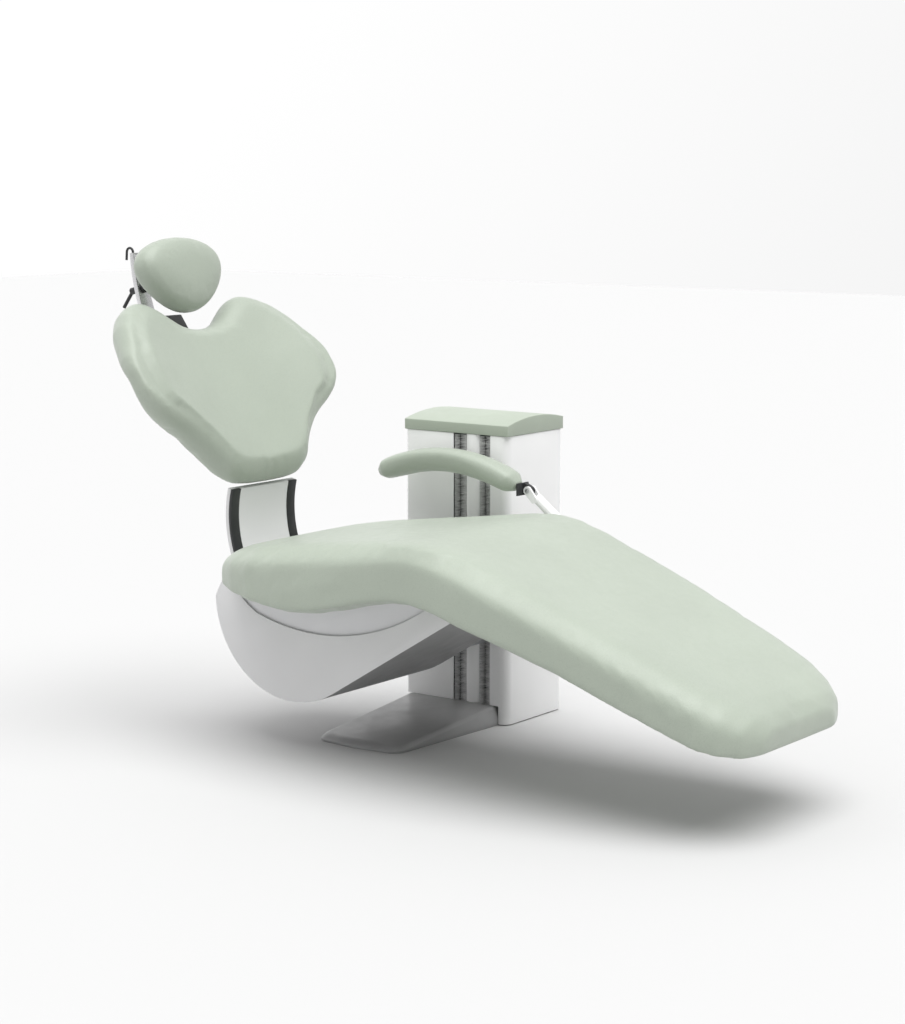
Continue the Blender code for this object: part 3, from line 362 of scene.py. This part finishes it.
def make_materials():
    return {
        "upholstery": vinyl(),
        "column_paint": painted(
            "column_paint", (0.90, 0.90, 0.90), 0.34,
            grain=620.0, depth=0.00007, vary=0.015, coat=0.15,
        ),
        "plate_paint": plate_paint(),
        "cap_plastic": painted(
            "cap_plastic", (0.400, 0.450, 0.375), 0.46, grain=1000.0, depth=0.00008, vary=0.03
        ),
        "shell_plastic": painted(
            "shell_plastic", (0.70, 0.70, 0.705), 0.42, grain=1200.0, depth=0.00007, vary=0.02
        ),
        "seat_pan_paint": painted(
            "seat_pan_paint", (0.69, 0.69, 0.705), 0.40, grain=800.0, depth=0.00006, vary=0.02
        ),
        "brush_fibre": bristles(),
        "black_plastic": rubbery("black_plastic", (0.016, 0.017, 0.018), 0.40),
        "belt_rubber": rubbery("belt_rubber", (0.020, 0.020, 0.021), 0.70),
        "frame_steel": painted(
            "frame_steel", (0.24, 0.245, 0.25), 0.42,
            grain=700.0, depth=0.00008, vary=0.05, metallic=0.2,
        ),
        "bright_steel": brushed("bright_steel", (0.72, 0.72, 0.73), 0.24, (14, 1, 14)),
        "alloy_plate": brushed("alloy_plate", (0.66, 0.67, 0.68), 0.38, (1, 12, 12)),
        # painted shade for the housing's underside: a dark grey
        "belly_shade_paint": painted(
            "belly_shade_paint", (0.270, 0.270, 0.273), 0.40, grain=800.0, depth=0.00009, vary=0.06
        ),
        "pale_panel": painted(
            "pale_panel", (0.80, 0.80, 0.805), 0.36, grain=1200.0, depth=0.00006, vary=0.02
        ),
        "bronze": brushed("bronze", (0.55, 0.40, 0.20), 0.35, (4, 4, 4)),
        "motor_case": painted(
            "motor_case", (0.035, 0.036, 0.040), 0.45, grain=900.0, depth=0.00009, vary=0.10
        ),
    }


def paint(piece, mat):
    """Makes mat the piece's only material."""
    piece.data.materials.clear()
    piece.data.materials.append(mat)


def finish_nodes(mats):
    """Gives every CAD node its material through the object's material slots."""
    for name, node in NODES.items():
        for place in node.material_slots:
            place.link = "OBJECT"
            place.material = mats[SLOT_OF[name]]


# --------------------------------------------------------------- refined pieces
def copy_node(name, piece_name):
    """A new piece with the CAD node's shape, its doubled points merged and flat faces joined."""
    bm = bmesh.new()
    bm.from_mesh(NODES[name].data)
    bmesh.ops.remove_doubles(bm, verts=bm.verts, dist=SAME_POINT)
    bmesh.ops.dissolve_limit(bm, angle_limit=FLAT_ANGLE, verts=bm.verts, edges=bm.edges)
    return mesh_object(bm, piece_name)


def apply_modifiers(piece):
    """Puts the evaluated shape into the piece's own mesh."""
    graph = bpy.context.evaluated_depsgraph_get()
    shaped = bpy.data.meshes.new_from_object(piece.evaluated_get(graph))
    piece.modifiers.clear()
    piece.data = shaped


def refine(mats, name, width):
    """Replaces a hard CAD node by the same shape with its edges rounded over."""
    piece = copy_node(name, name + "_skin")
    edge = piece.modifiers.new("edges", "BEVEL")
    edge.width = width
    edge.segments = BEVEL_STEPS
    edge.limit_method = "ANGLE"
    edge.angle_limit = BEVEL_ANGLE
    edge.use_clamp_overlap = True
    apply_modifiers(piece)
    piece.data.shade_smooth()
    piece.data.set_sharp_from_angle(angle=SMOOTH)
    paint(piece, mats[SLOT_OF[name]])
    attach(piece, BODY_OF[name])
    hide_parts(name)
    return piece


def paint_belly_shade(piece, mat):
    """Paints shade on the housing's curved and sloping bottom: dark grey between its light side
    panels.
    """
    piece.data.materials.append(mat)
    for face in piece.data.polygons:
        outside = abs(face.normal.y) < BELLY_SIDE and face.normal.z < BELLY_UP
        if outside and face.center.z < BELLY_TOP:
            face.material_index = 1


def make_bristles(mats, name):
    """A brush strip whose tufts reach the middle of its slot, where they bear on the arm's webs."""
    low, high = (Vector(corner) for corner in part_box(name))
    middle = 0.5 * (low.x + high.x)
    slot = min(SLOT_X, key=lambda x: abs(x - middle))
    root, inner = (low.x, high.x) if slot > middle else (high.x, low.x)
    tip = slot + math.copysign(BRISTLE_GAP, inner - slot)
    short = math.copysign(BRISTLE_SHORT, inner - slot)
    bm = bmesh.new()
    for i in range(int((high.z - low.z) / BRISTLE_PITCH)):
        foot = low.z + BRISTLE_PITCH * i
        head = foot + BRISTLE_PITCH * BRISTLE_SHARE
        point = 0.5 * (foot + head) + BRISTLE_DROOP * math.sin(7.3 * i)
        reach = tip + short * (1 + math.sin(3.9 * i))
        front = low.y + BRISTLE_RAGGED * (1 + math.sin(2.3 * i))
        outline = (
            (root, foot), (root, head), (reach, point + BRISTLE_TIP), (reach, point - BRISTLE_TIP)
        )
        ring = [bm.verts.new((x, y, z)) for y in (front, high.y) for x, z in outline]
        bm.faces.new(ring[:4])
        bm.faces.new(ring[:3:-1])
        for k in range(4):
            after = (k + 1) % 4
            bm.faces.new((ring[k], ring[k + 4], ring[after + 4], ring[after]))
    bmesh.ops.recalc_face_normals(bm, faces=bm.faces)
    piece = mesh_object(bm, name + "_fibres")
    paint(piece, mats["brush_fibre"])
    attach(piece, BODY_OF[name])
    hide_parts(name)


def refine_all(mats):
    widths = {
        "foot_plate": 0.0016,
        "column_cover": 0.0007,
        "column_cap": 0.0030,
        "slot_divider": 0.0008,
        "lower_housing": 0.0011,
        "seat_pan": 0.0007,
        "leg_rest_pan": 0.0012,
        "back_support": 0.0014,
        "support_cover": 0.0008,
        "support_strip_near": 0.0010,
        "support_strip_far": 0.0010,
        "rear_shield": 0.0010,
        "headrest_bar": 0.0009,
        "headrest_bracket": 0.0012,
        "headrest_guide": 0.0022,
        "armrest_knuckle": 0.0006,
        "back_arm_near": 0.0008,
        "back_arm_far": 0.0008,
        "lift_arm": 0.0010,
        "clamp_knob": 0.0012,
        "seat_rail_near": 0.0007,
        "seat_rail_far": 0.0007,
        "armrest_bracket": 0.0008,
    }
    for name, width in widths.items():
        piece = refine(mats, name, width)
        if name == "lower_housing":
            # painted shade: the housing's bottom faces get the dark grey
            paint_belly_shade(piece, mats["belly_shade_paint"])
        if name == "support_cover":
            paint(piece, mats["pale_panel"])
    for name in NODES:
        if name.startswith("slot_brush"):
            make_bristles(mats, name)


# ------------------------------------------------------------------- soft pads
def voxel_copy(name, piece_name, voxel):
    """A copy of the CAD node with an even mesh, which cloth needs."""
    piece = copy_node(name, piece_name)
    mesh = piece.modifiers.new("even_mesh", "REMESH")
    mesh.mode = "VOXEL"
    mesh.voxel_size = voxel
    apply_modifiers(piece)
    return piece


def relax(piece, rounds):
    """Smooths the skin, which draws its corners in a little."""
    step = piece.modifiers.new("relax", "SMOOTH")
    step.factor = RELAX_SHARE
    step.iterations = rounds
    apply_modifiers(piece)


def push_out(piece, amount):
    """Moves every point along its normal."""
    bm = bmesh.new()
    bm.from_mesh(piece.data)
    bm.normal_update()
    for vert in bm.verts:
        vert.co += vert.normal * amount
    bm.to_mesh(piece.data)
    bm.free()


def inflate(piece, cap):
    """Cloth under inner pressure, each point moving no further than cap."""
    rest = [vert.co.copy() for vert in piece.data.vertices]
    cloth = piece.modifiers.new("fill", "CLOTH")
    cloth.settings.use_pressure = True
    cloth.settings.uniform_pressure_force = CLOTH_PRESSURE
    cloth.settings.quality = CLOTH_QUALITY
    cloth.settings.effector_weights.gravity = 0.0
    cloth.point_cache.frame_start = 1
    cloth.point_cache.frame_end = CLOTH_FRAMES
    for number in range(1, CLOTH_FRAMES + 1):
        SCENE.frame_set(number)
    apply_modifiers(piece)
    SCENE.frame_set(1)
    for vert, start in zip(piece.data.vertices, rest):
        move = vert.co - start
        if move.length > cap:
            vert.co = start + move.normalized() * cap


def subdivide(piece):
    level = piece.modifiers.new("fine", "SUBSURF")
    level.levels = 1
    level.render_levels = 1
    apply_modifiers(piece)


def fit_box(piece, name):
    """Stretches a pad slightly, so that it fills its CAD solid's box but for a small margin."""
    low, high = (Vector(corner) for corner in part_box(name))
    points = [vert.co for vert in piece.data.vertices]
    for k in range(3):
        start = min(p[k] for p in points)
        end = max(p[k] for p in points)
        scale = (high[k] - low[k] - 2 * PAD_MARGIN) / (end - start)
        for p in points:
            p[k] = low[k] + PAD_MARGIN + (p[k] - start) * scale


def pad(mats, name, voxel, draw_in, cap, rounds):
    """An upholstered pad: remeshed, drawn in, filled by pressure, smoothed and brought to size."""
    piece = voxel_copy(name, name + "_cover", voxel)
    relax(piece, rounds)
    push_out(piece, -draw_in)
    inflate(piece, cap)
    relax(piece, SETTLE_ROUNDS)
    subdivide(piece)
    fit_box(piece, name)
    piece.data.shade_smooth()
    paint(piece, mats["upholstery"])
    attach(piece, BODY_OF[name])
    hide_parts(name)


def make_pads(mats):
    pad(mats, "seat_cushion", voxel=0.0060, draw_in=0.0020, cap=0.006, rounds=5)
    pad(mats, "back_cushion", voxel=0.0055, draw_in=0.0020, cap=0.006, rounds=6)
    pad(mats, "headrest_pad", voxel=0.0045, draw_in=0.0020, cap=0.005, rounds=5)
    pad(mats, "armrest_pad", voxel=0.0040, draw_in=0.0015, cap=0.003, rounds=4)


# ------------------------------------------------------------------------ main
make_camera()
make_stage()
make_light()
materials = make_materials()
finish_nodes(materials)
refine_all(materials)
make_pads(materials)
